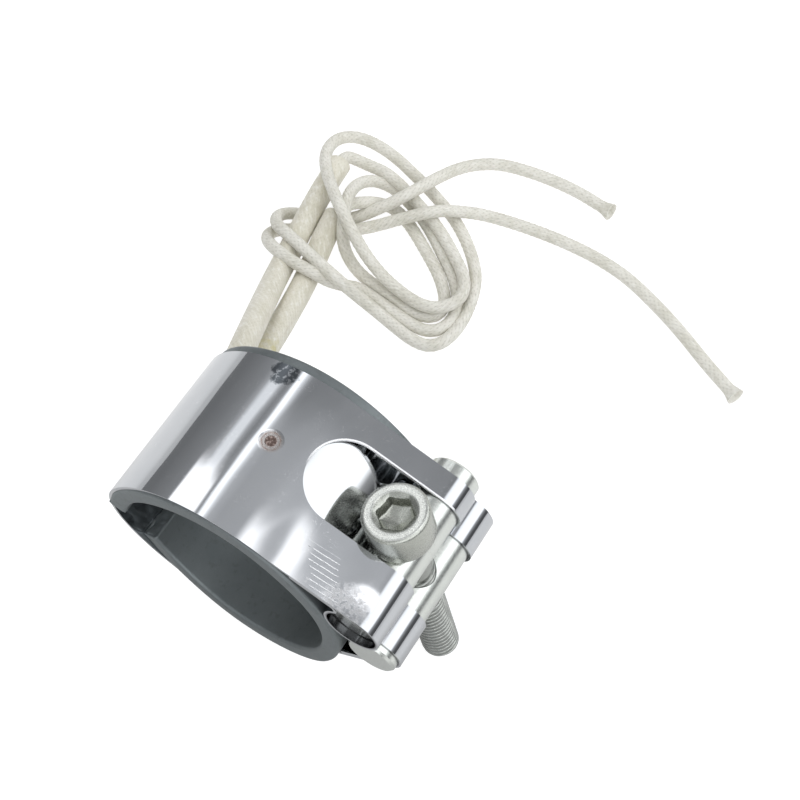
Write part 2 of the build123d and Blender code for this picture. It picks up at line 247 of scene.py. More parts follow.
# %% World bands
BANDS = (
    # turn in degrees, from the clamp's side over the top, and the light there
    (0, 0.12), (10, 0.14), (20, 0.5), (26, 2.0), (50, 2.0), (60, 1.7), (66, 0.55), (70, 0.75),
    (80, 0.66), (104, 0.60), (111, 0.72), (114, 1.2), (116, 2.2), (119, 2.2), (121, 0.5),
    (125, 0.36), (129, 0.6),
    (132, 1.3), (138, 1.3), (142, 0.6), (147, 0.40), (158, 0.32), (172, 0.25), (182, 0.25),
    (187, 0.5), (200, 0.7), (352, 0.3), (360, 0.12),
)
world = bpy.data.worlds.new("studio")
world.use_nodes = True
scene.world = world
paint = Paint(world.node_tree)
direction = paint.node("ShaderNodeTexCoord", out="Generated")
east, north, up = paint.axes(direction)
turn = paint.node("ShaderNodeMath", {"operation": "ARCTAN2"}, {0: up, 1: east})
share = (turn / (2 * math.pi) + 1).fraction()
degrees = share * 360
stops = [(a / 360, (v * 0.98, v, v * 1.03)) for a, v in BANDS]
bands = paint.node("ShaderNodeValToRGB", {"stops": stops}, {"Fac": share})
dim = 1 - 0.42 * north.step(0.335, 0.375) * degrees.step(60, 66) * degrees.step(113, 108)
grey = paint.node("ShaderNodeCombineColor", None, {0: dim, 1: dim, 2: dim})
bands = paint.node("ShaderNodeMix", {"data_type": "RGBA", "blend_type": "MULTIPLY"},
                   {0: 1.0, 6: bands, 7: grey}, out=2)

# %% [markdown]
# Three white cards hang in front of the bands. Each fills a range of turns and a range of
# slants to the north, and they give the strap its square highlights above the front rim.

# %% Cards
CARD_LIGHT = (2.3, 2.3, 2.33)
WHITE_BACKDROP = (1.05, 1.05, 1.05)
square_card = north.step(0.303, 0.299) * north.step(0.20, 0.25)
square_card = square_card * degrees.step(122, 125) * degrees.step(150, 147)
soft_card = north.step(0.312, 0.288) * north.step(0.20, 0.25)
soft_card = soft_card * degrees.step(70.2, 73) * degrees.step(86, 76)
low_card = north.step(0.279, 0.268) * north.step(0.12, 0.16)
low_card = low_card * degrees.step(56, 60) * degrees.step(79, 77)
light = paint.mix(square_card.most(soft_card).most(low_card), bands, CARD_LIGHT)
light = paint.mix(paint.node("ShaderNodeLightPath", out="Is Camera Ray"), light, WHITE_BACKDROP)
back = paint.node("ShaderNodeBackground", None, {"Color": light, "Strength": 1.0})
paint.node("ShaderNodeOutputWorld", None, {"Surface": back})
print("world bands:", len(BANDS))

# %% [markdown]
# Two square lamps shade the braid, the floor and the dull sheet. Mirrors don't show them: the
# strap's picture is made by the bands and cards alone.

# %% Lamps


def lamp(name, place, aim, size, power, tint):
    """A square area lamp at place, turned to aim, both in metres."""
    data = bpy.data.lights.new(name, "AREA")
    data.size = size
    data.energy = power
    data.color = tint
    made = bpy.data.objects.new(name, data)
    made.location = place
    made.rotation_euler = (Vector(aim) - Vector(place)).to_track_quat("-Z", "Y").to_euler()
    made.visible_glossy = False
    scene.collection.objects.link(made)


AIM = (-0.01, 0.03, -0.01)
lamp("key", (-0.30, 0.20, 0.70), AIM, 0.25, 0.9, (1.0, 0.99, 0.97))
lamp("fill", (0.55, -0.55, 0.65), AIM, 0.6, 0.2, (0.97, 0.98, 1.0))

# %% [markdown]
# Both leads leave the ring's gap, run through their sleeves, lie in two loose turns each and end
# in two tails. Each route is one NURBS curve by points read off the photograph, at the height
# where the cord lies. A point without a height lies on the floor.

# %% Cord routes, in millimetres
LEAD_THICK = 2.2
SLEEVE_THICK = 4.3
FLAT = floor_level / MM + LEAD_THICK / 2
FLARE_LENGTH = 3.0
FLARE_RADIUS = 1.65
LEAD_START = 4.0
SLEEVE_START = 17.8
BORE = 17.5
UPPER_START = 176.5
LOWER_START = 199
ring_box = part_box("inner_sheath")
lead_orbit = (ring_box[1].x - ring_box[0].x) / 4 / MM + BORE / 2


def at_gap(degrees, y):
    """A point halfway through the ring's thickness, at a turn round its axis and a place along it."""
    turn_at = math.radians(degrees)
    return (lead_orbit * math.cos(turn_at), y, lead_orbit * math.sin(turn_at))


LONG_SLEEVE = [
    at_gap(UPPER_START, SLEEVE_START), (-20.2, 22.0, -0.3), (-22.3, 27.0, -3.6), (-25.3, 33.5, -8.9),
    (-28.0, 39.8, -13.4), (-29.9, 46.2, -15.9), (-31.3, 53.0, -16.6), (-32.4, 59.4, -16.7),
    (-33.3, 65.1, -17.1), (-33.8, 70.1, -17.6),
]
SHORT_SLEEVE = [
    at_gap(LOWER_START, SLEEVE_START), (-19.1, 22.0, -7.2), (-20.2, 26.9, -9.3), (-21.6, 32.1, -12.1),
    (-23.2, 38.3, -14.7), (-24.5, 44.1, -16.2), (-25.9, 50.0, -16.6), (-27.2, 55.4, -16.6),
    (-27.8, 59.6, -16.6),
]
UPPER_LOOPS = [
    # out of the sleeve and round to the right
    (-33.8, 71.4, -17.6), (-33.2, 72.4, -18.0), (-31.7, 73.1, -18.9), (-29.4, 73.6, -19.5),
    (-26.2, 73.4, -18.7), (-22.8, 72.4, -18.2), (-19.7, 71.2, -18.1), (-16.6, 69.9, -18.0),
    (-13.4, 68.6, -18.0), (-10.4, 67.1, -18.0), (-7.6, 65.3, -18.0), (-5.2, 63.6, -18.0),
    (-2.8, 61.8, -17.9), (-0.9, 59.6, -17.7), (-0.1, 56.9, -17.6), (-1.1, 54.4, -17.6),
    # up across both sleeves
    (-3.1, 52.6, -17.6), (-5.7, 52.0, -17.7), (-8.8, 52.3, -17.8), (-12.0, 52.8, -17.5),
    (-15.4, 53.6, -16.8), (-18.9, 54.8, -15.4), (-21.7, 55.8, -13.0), (-25.1, 57.8, -11.8),
    (-28.7, 60.7, -12.6), (-32.3, 64.0, -14.0), (-35.2, 67.2, -15.3), (-37.5, 71.2, -17.3),
    # the widest turn, on the floor
    (-38.0, 75.3, -19.1), (-36.3, 77.8), (-33.3, 78.6), (-29.5, 78.5),
    (-25.6, 77.7), (-21.9, 76.5), (-18.3, 75.3), (-15.0, 74.0),
    (-11.8, 72.6), (-8.8, 70.9), (-5.8, 68.7), (-3.2, 66.3),
    (-1.0, 63.7), (0.5, 60.6), (1.4, 57.3), (1.9, 54.0), (1.8, 50.9),
    (1.0, 48.2), (-0.9, 46.5), (-3.9, 46.3), (-7.6, 47.0),
    # over the sleeves and back under them
    (-11.2, 47.6, -19.5), (-14.1, 47.6, -18.2), (-16.6, 47.1, -15.9), (-19.2, 46.7, -13.6),
    (-22.2, 46.9, -12.4), (-25.6, 47.9, -12.7), (-28.7, 48.9, -13.0), (-31.9, 50.0, -13.7),
    (-34.8, 51.3, -15.2), (-36.7, 53.2, -17.1), (-37.5, 55.4, -18.9), (-36.6, 57.2),
    (-34.5, 58.2), (-32.1, 59.2), (-29.7, 60.2), (-27.6, 61.2),
    (-25.9, 62.6), (-24.3, 64.3, -19.4), (-22.4, 66.0, -18.1), (-20.5, 67.7, -16.8),
    (-18.7, 69.9, -15.6), (-17.7, 73.8, -16.7),
]
UPPER_TAIL = [
    (-16.9, 77.8, -18.4), (-15.8, 81.3, -19.6), (-13.6, 84.2), (-9.9, 86.8),
    (-4.6, 88.2), (1.0, 88.9), (5.9, 89.0), (10.2, 88.3, FLAT + 0.4),
]
LOWER_LOOPS = [
    # the smallest turn
    (-27.4, 61.5, -16.6), (-27.1, 63.0, -16.9), (-26.1, 64.7, -17.8), (-24.8, 66.6, -19.0),
    (-22.8, 67.9, -19.7), (-20.3, 68.0), (-17.5, 67.0), (-14.9, 65.6),
    (-12.2, 63.9), (-9.4, 62.1), (-6.8, 60.3), (-4.7, 58.4),
    (-2.9, 56.3), (-2.2, 54.1), (-2.9, 52.2), (-5.0, 51.2),
    (-7.8, 51.3), (-10.8, 51.9), (-13.7, 52.3), (-16.5, 52.5),
    # up over its own start
    (-19.4, 53.1, -19.5), (-21.8, 54.0, -18.4), (-23.5, 55.1, -16.6), (-24.5, 56.6, -14.6),
    (-25.6, 58.9, -13.9), (-26.9, 61.6, -14.2), (-28.1, 65.0, -15.8), (-28.4, 68.3, -17.6),
    # the second turn
    (-27.3, 70.9, -19.2), (-25.1, 71.9), (-22.3, 71.7), (-19.7, 70.8),
    (-16.9, 69.7), (-14.2, 68.3), (-11.5, 66.6), (-8.9, 64.7),
    (-6.3, 62.8), (-3.9, 60.9), (-2.0, 58.9), (-0.4, 56.4),
    (0.2, 53.7), (-0.3, 50.9), (-2.2, 49.2), (-4.9, 48.8),
    (-8.2, 49.2), (-11.6, 49.7), (-14.7, 50.1), (-17.1, 50.1, -19.4),
    # over the sleeves and back under them
    (-18.8, 49.1, -18.9), (-20.0, 47.6, -17.0), (-21.1, 46.1, -14.8), (-22.9, 45.4, -13.2),
    (-25.3, 45.2, -12.9), (-27.8, 45.3, -12.9), (-30.5, 45.8, -13.3), (-33.3, 47.0, -14.7),
    (-35.6, 48.8, -16.8), (-36.8, 51.0, -18.8), (-36.3, 53.0), (-34.5, 54.3),
    (-32.5, 55.5), (-30.3, 56.7), (-28.0, 57.9), (-26.0, 59.1),
    (-24.2, 60.7), (-22.3, 62.5), (-20.3, 64.0, -19.1), (-18.2, 65.4, -17.9),
    (-15.9, 66.8, -16.7), (-13.6, 68.4, -15.8), (-11.8, 70.4, -16.4),
]
LOWER_TAIL = [
    (-10.6, 72.0, -17.6), (-7.3, 75.0, -19.5), (-3.0, 76.4), (2.4, 77.4), (8.5, 78.1),
    (15.4, 78.3), (22.1, 77.5), (29.4, 75.0), (36.0, 72.2),
    (41.6, 69.3), (46.6, 66.9, FLAT + 0.4),
]
print("route points:", len(UPPER_LOOPS + UPPER_TAIL), "and", len(LOWER_LOOPS + LOWER_TAIL))

# %% [markdown]
# A cord's middle is the curve that Blender draws along the route. Its points are read back and
# spread evenly, and two directions across it are carried from one end to the other.

# %% A line to follow


def centre_line(name, points):
    """Points along the NURBS curve of a route: Blender draws the curve, and its points are read."""
    curve = bpy.data.curves.new(name, "CURVE")
    curve.dimensions = "3D"
    curve.resolution_u = 12
    spline = curve.splines.new("NURBS")
    spline.points.add(len(points) - 1)
    spline.points.foreach_set("co", [v for p in points for v in (p[0] * MM, p[1] * MM, p[2] * MM, 1)])
    spline.order_u = 3
    spline.use_endpoint_u = True
    holder = bpy.data.objects.new(name, curve)
    scene.collection.objects.link(holder)
    mesh = bpy.data.meshes.new_from_object(holder)
    line = np.empty(len(mesh.vertices) * 3)
    mesh.vertices.foreach_get("co", line)
    bpy.data.objects.remove(holder)
    bpy.data.meshes.remove(mesh)
    return line.reshape(-1, 3)


def run_along(line, step):
    """Even points of a line, their distance along it, and two directions across it.

    Each direction is the one before it less its share along the line, so the braid doesn't twist.
    """
    walked = np.concatenate([[0], np.cumsum(np.linalg.norm(np.diff(line, axis=0), axis=1))])
    count = int(walked[-1] / step)
    s = np.linspace(0, walked[-1], count)
    centre = np.stack([np.interp(s, walked, line[:, k]) for k in range(3)], axis=1)
    ahead = np.gradient(centre, axis=0)
    ahead /= np.linalg.norm(ahead, axis=1)[:, None]
    first = np.cross(ahead[0], (0.3, 0.1, 1.0))
    across = [first / np.linalg.norm(first)]
    for t in ahead[1:]:
        turned = across[-1] - t * np.dot(across[-1], t)
        across.append(turned / np.linalg.norm(turned))
    across = np.array(across)
    return s, centre, across, np.cross(ahead, across)


# %% [markdown]
# Every new piece is a grid of points, worked out as whole arrays and joined by quads.

# %% Grids


def grid_faces(rows, columns, closed):
    """Corner numbers of the quads of a grid, whose last column may join its first."""
    r = np.arange(rows - 1)[:, None]
    c = np.arange(columns if closed else columns - 1)[None]
    after = (c + 1) % columns
    return np.stack([r * columns + c, r * columns + after, (r + 1) * columns + after,
                     (r + 1) * columns + c], axis=-1).reshape(-1, 4)


def mesh_piece(name, points, faces):
    """A smooth mesh object from arrays of points in metres and of faces."""
    mesh = bpy.data.meshes.new(name)
    mesh.from_pydata(points.reshape(-1, 3).tolist(), [], faces.tolist())
    mesh.polygons.foreach_set("use_smooth", [True] * len(mesh.polygons))
    mesh.update()
    made = bpy.data.objects.new(name, mesh)
    scene.collection.objects.link(made)
    return made


# %% [markdown]
# Two families of strands pass over and under each other. On the unrolled tube that is a checker
# of diamonds, and in each one family is on top. The radius carries that relief. An attribute
# keeps it for painted shade in the grooves, and a UV map keeps the unrolled place for strokes along
# strands.

# %% Braided tubes


def weave(u, v):
    """Height of a braid: on a checker of cells one strand is on top, round and dipping at its ends."""
    cell = (np.round(u) + np.round(v)) % 2
    fu = 2 * (u - np.round(u))
    fv = 2 * (v - np.round(v))
    along_u = np.sqrt(np.clip(1 - 0.9 * fu ** 2, 0, 1)) * (0.55 + 0.45 * np.cos(fv * np.pi / 2))
    along_v = np.sqrt(np.clip(1 - 0.9 * fv ** 2, 0, 1)) * (0.55 + 0.45 * np.cos(fu * np.pi / 2))
    return np.where(cell < 0.5, along_u, along_v)


def unroll(made, columns, around, along):
    """A UV map on a tube: once round in U, millimetres along in V, without a jump at the seam."""
    corner = np.empty(len(made.data.loops), int)
    made.data.loops.foreach_get("vertex_index", corner)
    face = np.arange(len(corner)) // 4
    u = around[corner % columns]
    last = (face % columns == columns - 1) & (corner % columns == 0)
    u = np.where(last, 1.0, u)
    layer = made.data.uv_layers.new(name="braid")
    layer.data.foreach_set("uv", np.stack([u, along[corner // columns]], axis=1).ravel())


def braided_tube(name, line, rows_at, radii, strands, lay, relief, sides):
    """A tube round a line, in metres: row i is a circle of radius radii[i] at distance rows_at[i].

    The weave times the relief pushes its points out.
    """
    s, centre, across, other = run_along(line, 0.1 * MM)
    pick = [np.stack([np.interp(rows_at, s, part[:, k]) for k in range(3)], axis=1)
            for part in (centre, across, other)]
    angle = np.linspace(0, 2 * np.pi, sides, endpoint=False)
    round_share = angle[None] / (2 * np.pi)
    along = rows_at[:, None] / MM / lay
    height = weave(round_share * strands + along, round_share * strands - along)
    radius = radii[:, None] + relief * (height - 0.6) * (radii[:, None] > 0.3 * MM)
    points = (pick[0][:, None] + radius[..., None] * (np.cos(angle)[None, :, None] * pick[1][:, None]
                                                      + np.sin(angle)[None, :, None] * pick[2][:, None]))
    made = mesh_piece(name, points, grid_faces(len(rows_at), sides, True)[:, ::-1])
    unroll(made, sides, angle / (2 * np.pi), rows_at / MM)
    kept = made.data.attributes.new("height", "FLOAT", "POINT")
    kept.data.foreach_set("value", np.clip(height, 0, 1).ravel().astype(np.float32))
    return made


# %% [markdown]
# The leads' braid is off white, with painted shade in its grooves and a few grey flecks. The varnished
# sleeves are creamier and glossier, and stained near the ring.

# %% Braid materials


def braid_material(name, light, shade, groove, rough, gloss, fleck, stain_spot=None):
    """Strands in light and dark patches, painted shade in the grooves by the kept height, pale strokes and
    grey flecks.
    """
    made, paint = material(name)
    height = paint.node("ShaderNodeAttribute", {"attribute_name": "height"}, out="Fac")
    patches = paint.noise(0.22, detail=3.0).step(0.38, 0.66)
    fine = paint.noise(3.2, detail=5.0, rough=0.7)
    body = paint.mix(patches, light, shade)
    # Painted shade: the grooves between strands, found by the kept height, are darkened towards the groove
    # colour, and so are the dark strokes below.
    painted_groove_shade = height.step(0.66, 0.15) * (0.30 + fine * 0.7)
    body = paint.mix(painted_groove_shade, body, groove)
    across, length = paint.axes(paint.node("ShaderNodeUVMap", {"uv_map": "braid"}))[:2]
    strokes = paint.node("ShaderNodeCombineXYZ", None,
                         {0: across * 22 + length * 1.1, 1: across * 6 - length * 0.6})
    stroke = paint.node("ShaderNodeTexNoise", None, {"Vector": strokes, "Scale": 1.0, "Detail": 3.0})
    body = paint.mix(stroke.step(0.50, 0.72) * 0.55, body, (0.86, 0.85, 0.80))
    body = paint.mix(stroke.step(0.46, 0.30) * 0.30, body, groove)
    flecks = fine.step(0.66, 0.74) * fleck
    body = paint.mix(flecks, body, (0.36, 0.33, 0.28))
    if stain_spot:
        stain = paint.reach(stain_spot).step(5.0, 1.0) * paint.noise(0.9, detail=3.0).step(0.35, 0.7)
        body = paint.mix(stain * 0.75, body, (0.56, 0.50, 0.20))
    threads = paint.noise(6.0, detail=2.0)
    normal = paint.bump(threads + height * 0.4, 0.05, 0.5)
    paint.finish(Base_Color=body, Roughness=rough + fine * 0.15, Normal=normal, Sheen_Weight=0.15,
                 Sheen_Roughness=0.5, Coat_Weight=gloss, Coat_Roughness=0.3)
    return made


# The third colour of each braid is the painted shade in its grooves.
lead_cloth = braid_material("lead_braid", (0.72, 0.70, 0.63), (0.64, 0.62, 0.54), (0.34, 0.32, 0.26),
                            0.62, 0.0, 0.45)
sleeve_cloth = braid_material("sleeve_braid", (0.70, 0.67, 0.57), (0.62, 0.59, 0.48), (0.46, 0.43, 0.32),
                              0.42, 0.25, 0.25, stain_spot=(-18.6, 26.0, -7.0))

# %% [markdown]
# A sleeve is a tube with a wall, so its profile runs on round both mouths and a little way back
# inside, where the lead comes out of the dark.

# %% Sleeves
SLEEVE_BORE = 2.6
MOUTH_DEPTH = 5.0
SLEEVE_STRANDS = 18
SLEEVE_LAY = 1.15
SLEEVE_RELIEF = 0.05
SLEEVE_SIDES = 90
RIM_ROWS = 9
INSIDE_ROWS = 8


def sleeve(name, points):
    """A braided tube whose rows go from inside one mouth round its rim to inside the other."""
    line = centre_line(name, points)
    length = np.linalg.norm(np.diff(line, axis=0), axis=1).sum()
    outer = SLEEVE_THICK / 2 * MM
    inner = SLEEVE_BORE / 2 * MM
    middle = (outer + inner) / 2
    lip = (outer - inner) / 2
    turn_at = np.linspace(0, np.pi, RIM_ROWS)[1:-1]
    ahead = lip * np.sin(turn_at)
    aside = lip * np.cos(turn_at)
    body = np.arange(lip, length - lip, 0.16 * MM)
    rows = np.concatenate([
        np.linspace(MOUTH_DEPTH * MM, lip, INSIDE_ROWS), lip - ahead, body, length - lip + ahead,
        np.linspace(length - lip, length - MOUTH_DEPTH * MM, INSIDE_ROWS)])
    radii = np.concatenate([np.full(INSIDE_ROWS, inner), middle - aside, np.full(len(body), outer),
                            middle + aside, np.full(INSIDE_ROWS, inner)])
    made = braided_tube(name + "_braid", line, rows, radii, SLEEVE_STRANDS, SLEEVE_LAY,
                        SLEEVE_RELIEF * MM, SLEEVE_SIDES)
    dress(made, sleeve_cloth)
    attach(made, "root")
    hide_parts(name)
    [v * MM for v in points[0]]
    print(name, "length in mm", round(length / MM, 1))


sleeve("long_sleeve", LONG_SLEEVE)
sleeve("short_sleeve", SHORT_SLEEVE)

# %% [markdown]
# Each lead is one tube from its crimp to its cut end, where the braid springs open: the radius
# grows over the last two millimetres, and rows that shrink to the middle close the end.

# %% Leads
LEAD_STRANDS = 8
LEAD_LAY = 1.2
LEAD_RELIEF = 0.10
LEAD_SIDES = 48
LEAD_STEP = 0.17
FLARE_RUN = 2.1
END_CUTS = (0, 0.15, 0.7, 0.7)
END_SHARES = (0.97, 0.8, 0.75, 0.02)


def lead(name, start_angle, sleeve_points, loops, tail, stands_for):
    """A braided tube along the whole route and a little way past it, with a flared end."""
    points = [at_gap(start_angle, LEAD_START), at_gap(start_angle, (LEAD_START + SLEEVE_START) / 2)]
    points += [(*point, FLAT)[:3] for point in sleeve_points + loops + tail]
    last = np.array(points[-1]) - np.array(points[-2])
    points.append(tuple(np.array(points[-1]) + FLARE_LENGTH * last / np.linalg.norm(last)))
    line = centre_line(name, points)
    length = np.linalg.norm(np.diff(line, axis=0), axis=1).sum()
    radius = LEAD_THICK / 2 * MM
    flare = FLARE_RADIUS * MM
    rows = np.arange(0, length, LEAD_STEP * MM)
    out = np.clip((rows - (length - FLARE_RUN * MM)) / (FLARE_RUN * MM), 0, 1)
    radii = radius + (flare - radius) * out ** 1.4
    rows = np.concatenate([np.zeros(2), rows, length - np.array(END_CUTS) * MM])
    radii = np.concatenate([[0.01 * MM, radius * 0.9], radii, np.array(END_SHARES) * flare])
    made = braided_tube(name, line, rows, radii, LEAD_STRANDS, LEAD_LAY, LEAD_RELIEF * MM, LEAD_SIDES)
    dress(made, lead_cloth)
    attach(made, "root")
    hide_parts(*stands_for)
    [v * MM for v in points[0]]
    print(name, "length in mm", round(length / MM, 1))


lead("upper_lead", UPPER_START, LONG_SLEEVE, UPPER_LOOPS, UPPER_TAIL,
     ("upper_lead_run", "lead_coil", "upper_lead_tail"))
lead("lower_lead", LOWER_START, SHORT_SLEEVE, LOWER_LOOPS, LOWER_TAIL,
     ("lower_lead_run", "lead_coil", "lower_lead_tail"))

# %% [markdown]
# The strap is one line in the X-Z plane, swept along Y: a band round the ring, two straight
# legs, a roll round each barrel, a bend and a tab under the leg. The long slot parts it into two
# bands of columns, and near its tip the rows lie closer, so that they follow its round end.

# %% Strap line, in millimetres
STRAP_WALL = 0.5
BAND_RADIUS = 20.75
ROLL_RADIUS = 4.27
BARREL_SPREAD = 5.25
CLAMP_REACH = 24.4998
CLAMP_ANGLE = math.radians(12)
LEG_LENGTH = 18.867
TAB_LENGTH = 7.0
BEND_RADIUS = 1.0
BEND_MIDDLE = (-4.495, 2.75)
SLOT_RADIUS = 6.35
SLOT_CENTRE = 2.65
SLOT_TIP = 0.15
STRAP_FRONT = -13.2
STRAP_WIDTH = 26.4
STRAP_SKEW = 2.5


def barrel_middle(side):
    """X and Z of a barrel's middle: side is 1 above and -1 below."""
    c, s = math.cos(CLAMP_ANGLE), math.sin(CLAMP_ANGLE)
    spread = side * BARREL_SPREAD
    return np.array([CLAMP_REACH * c - spread * s, CLAMP_REACH * s + spread * c])


def leg_angle(side):
    """Turn of the leg's normal in degrees: the leg touches both the band and the roll."""
    x, z = barrel_middle(side)
    spread = math.degrees(math.acos((BAND_RADIUS - ROLL_RADIUS) / math.hypot(x, z)))
    return math.degrees(math.atan2(z, x)) + side * spread


def leg_axes(side):
    """Two directions in X and Z: along the leg towards the barrel, and out of it."""
    angle = math.radians(leg_angle(side))
    out = np.array([math.cos(angle), math.sin(angle)])
    return side * np.array([out[1], -out[0]]), out


def end_line(side):
    """Tab, bend, roll and leg of one end of the strip, and the slot's half width along them."""
    turn = math.degrees(math.atan2(-BEND_MIDDLE[0], BEND_MIDDLE[1]))
    tab_height = BEND_MIDDLE[1] + BEND_RADIUS
    tab = np.linspace(BEND_MIDDLE[0] - TAB_LENGTH, BEND_MIDDLE[0], 8)[:-1]
    bend = np.radians(np.linspace(0, 180 - turn, 14))[:-1]
    roll = np.radians(np.linspace(360 - turn, 0, 72))[:-1]
    tip = SLOT_TIP - LEG_LENGTH
    cut = tip + SLOT_RADIUS * (1 - np.cos(np.linspace(0, np.pi / 2, 34)))
    leg = np.concatenate([np.linspace(0, cut[-1], 16)[:-1], cut[::-1], [-LEG_LENGTH]])
    p = np.concatenate([tab, BEND_MIDDLE[0] + BEND_RADIUS * np.sin(bend), ROLL_RADIUS * np.sin(roll), leg])
    q = np.concatenate([np.full(len(tab), tab_height), BEND_MIDDLE[1] + BEND_RADIUS * np.cos(bend),
                        ROLL_RADIUS * np.cos(roll), np.full(len(leg), ROLL_RADIUS)])
    slot = np.full(len(p), SLOT_RADIUS)
    near = np.clip(leg - tip, 0, SLOT_RADIUS)
    slot[-len(leg):] = np.sqrt(np.clip(SLOT_RADIUS ** 2 - (SLOT_RADIUS - near) ** 2, 0, None))
    along, out = leg_axes(side)
    return barrel_middle(side) + p[:, None] * along + q[:, None] * out, slot


upper, upper_slot = end_line(1)
lower, lower_slot = end_line(-1)
sweep = np.radians(np.linspace(leg_angle(1), 360 + leg_angle(-1), 200))[1:-1]
band_line = BAND_RADIUS * np.stack([np.cos(sweep), np.sin(sweep)], axis=1)
strap_line = np.concatenate([upper, band_line, lower[::-1]])
slot_half = np.concatenate([upper_slot, np.zeros(len(band_line)), lower_slot[::-1]])
turned = np.concatenate([np.full(len(upper), 90.0), np.degrees(sweep), np.full(len(lower), 300.0)])
print("strap rows:", len(strap_line))

# %% [markdown]
# Thin polished strip has slow waves and shallow dents of a few hundredths of a millimetre. They
# are too small to see as shapes, but they bend every reflection, so the mesh has them.

# %% Waves and dents
WAVE = 0.012
RIPPLE = 0.004
FINE_RIPPLE = 0.0010
DENT_DEPTH = 0.05
WELD_DENT_DEPTH = 0.11


def waviness(s, y):
    """Slow waves of the strip in millimetres, from distance along the line and place across it."""
    slow = WAVE * np.sin(0.31 * s + 0.22 * y + 1.0) + RIPPLE * np.sin(0.83 * s - 0.30 * y)
    return slow + FINE_RIPPLE * np.sin(1.9 * s + 0.7 * y + 2.0)


def dents(from_leg, y):
    """Depth of two bell shaped dents in the upper leg, at its start and at the tab's weld."""
    at_start = np.exp(-((from_leg + 4.4) / 2.0) ** 2 - ((y + 9.5) / 6.0) ** 2)
    at_weld = np.exp(-((from_leg + 17.6) / 2.3) ** 2 - ((y + 11.2) / 2.6) ** 2)
    return DENT_DEPTH * at_start + WELD_DENT_DEPTH * at_weld * (turned < 180)[:, None]


# %% [markdown]
# The line is carried across in two bands of columns, in front of the slot and behind it, which
# share a seam where there is no slot.

# %% Strap surface
COLUMNS = 26
SEAM_REACH = 1e-6


def strap_points(columns):
    """Grid of the strip: columns in front of the slot, then columns behind it."""
    lean = np.clip((10.0 - strap_line[:, 1]) / 30.5, 0, 1)
    shift = STRAP_SKEW * np.where(turned < 90, 0, np.where(turned > 270, 1, lean * (turned > 90)))
    front = STRAP_FRONT + shift
    share_across = np.linspace(0, 1, columns)
    first = front[:, None] + (SLOT_CENTRE - slot_half - front)[:, None] * share_across
    second_start = SLOT_CENTRE + slot_half
    second = second_start[:, None] + (front + STRAP_WIDTH - second_start)[:, None] * share_across
    y = np.concatenate([first, second], axis=1)
    step = np.linalg.norm(np.diff(strap_line, axis=0), axis=1)
    s = np.concatenate([[0], np.cumsum(step)])
    way = np.gradient(strap_line, s, axis=0)
    out = np.stack([way[:, 1], -way[:, 0]], axis=1)
    out /= np.linalg.norm(out, axis=1)[:, None]
    from_leg = (s - s[len(upper) - 1])[:, None]
    push = waviness(s[:, None], y) - dents(from_leg, y)
    xz = strap_line[:, None] + out[:, None] * push[..., None]
    return np.stack([xz[..., 0], y, xz[..., 1]], axis=-1) * MM


def join_points(made, reach, closed=False):
    """Joins points closer than reach, in metres, and turns a closed piece's faces outwards."""
    work = bmesh.new()
    work.from_mesh(made.data)
    bmesh.ops.remove_doubles(work, verts=work.verts, dist=reach)
    if closed:
        bmesh.ops.recalc_face_normals(work, faces=work.faces)
    work.to_mesh(made.data)
    work.free()


points = strap_points(COLUMNS)
faces = grid_faces(len(points), 2 * COLUMNS, False)
column = faces[:, 0] % (2 * COLUMNS)
strap = mesh_piece("strap", points, faces[column != COLUMNS - 1])
join_points(strap, SEAM_REACH)
print("strap faces before its wall:", len(strap.data.polygons))

# %% [markdown]
# A sheet gets its thickness from Solidify and its broken edges from a narrow Bevel, so its shape
# stays one surface that is easy to change.

# %% Walls and edges


def wall(made, thickness, offset=0.0):
    """Thickness in millimetres: inwards at offset -1, outwards at 1, both ways at 0."""
    solid = made.modifiers.new("wall", "SOLIDIFY")
    solid.thickness = thickness * MM
    solid.offset = offset
    solid.use_even_offset = True


def soften(made, width):
    """A narrow bevel, in millimetres, on every edge sharper than 40 degrees."""
    edge = made.modifiers.new("edge", "BEVEL")
    edge.width = width * MM
    edge.segments = 2
    edge.limit_method = "ANGLE"
    edge.angle_limit = math.radians(40)
    edge.harden_normals = True


wall(strap, STRAP_WALL)
soften(strap, 0.08)
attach(strap, "root")
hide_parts("clamp_strap")

# %% [markdown]
# Polished stainless is a near mirror whose haze changes in patches. Its hairlines are drawn where
# a noise crosses its middle value, which gives long thin curves.

# %% Polish and hairlines
polish, paint = material("polished_strap")
x, y, z = [part / MM for part in paint.axes(paint.place())]
haze = paint.noise(0.16)
grain = paint.noise(1.7, detail=5.0, rough=0.7)
ragged = (paint.noise(0.7, rough=0.6) - 0.5) * 4.0
curls = (paint.noise(0.55, detail=3.0, rough=0.6) - 0.5).size().step(0.0035, 0.0008)
hair = curls * paint.noise(0.30, detail=2.0).step(0.50, 0.62)
colour = paint.mix(haze, (0.50, 0.515, 0.535), (0.56, 0.57, 0.585))
colour = paint.mix(hair * 0.5, colour, (0.80, 0.80, 0.80))

# %% [markdown]
# The leg carries seven straight scratches side by side. In the leg's own directions, along it
# and across it, they are the narrow parts of a repeated stripe, with ragged ends.

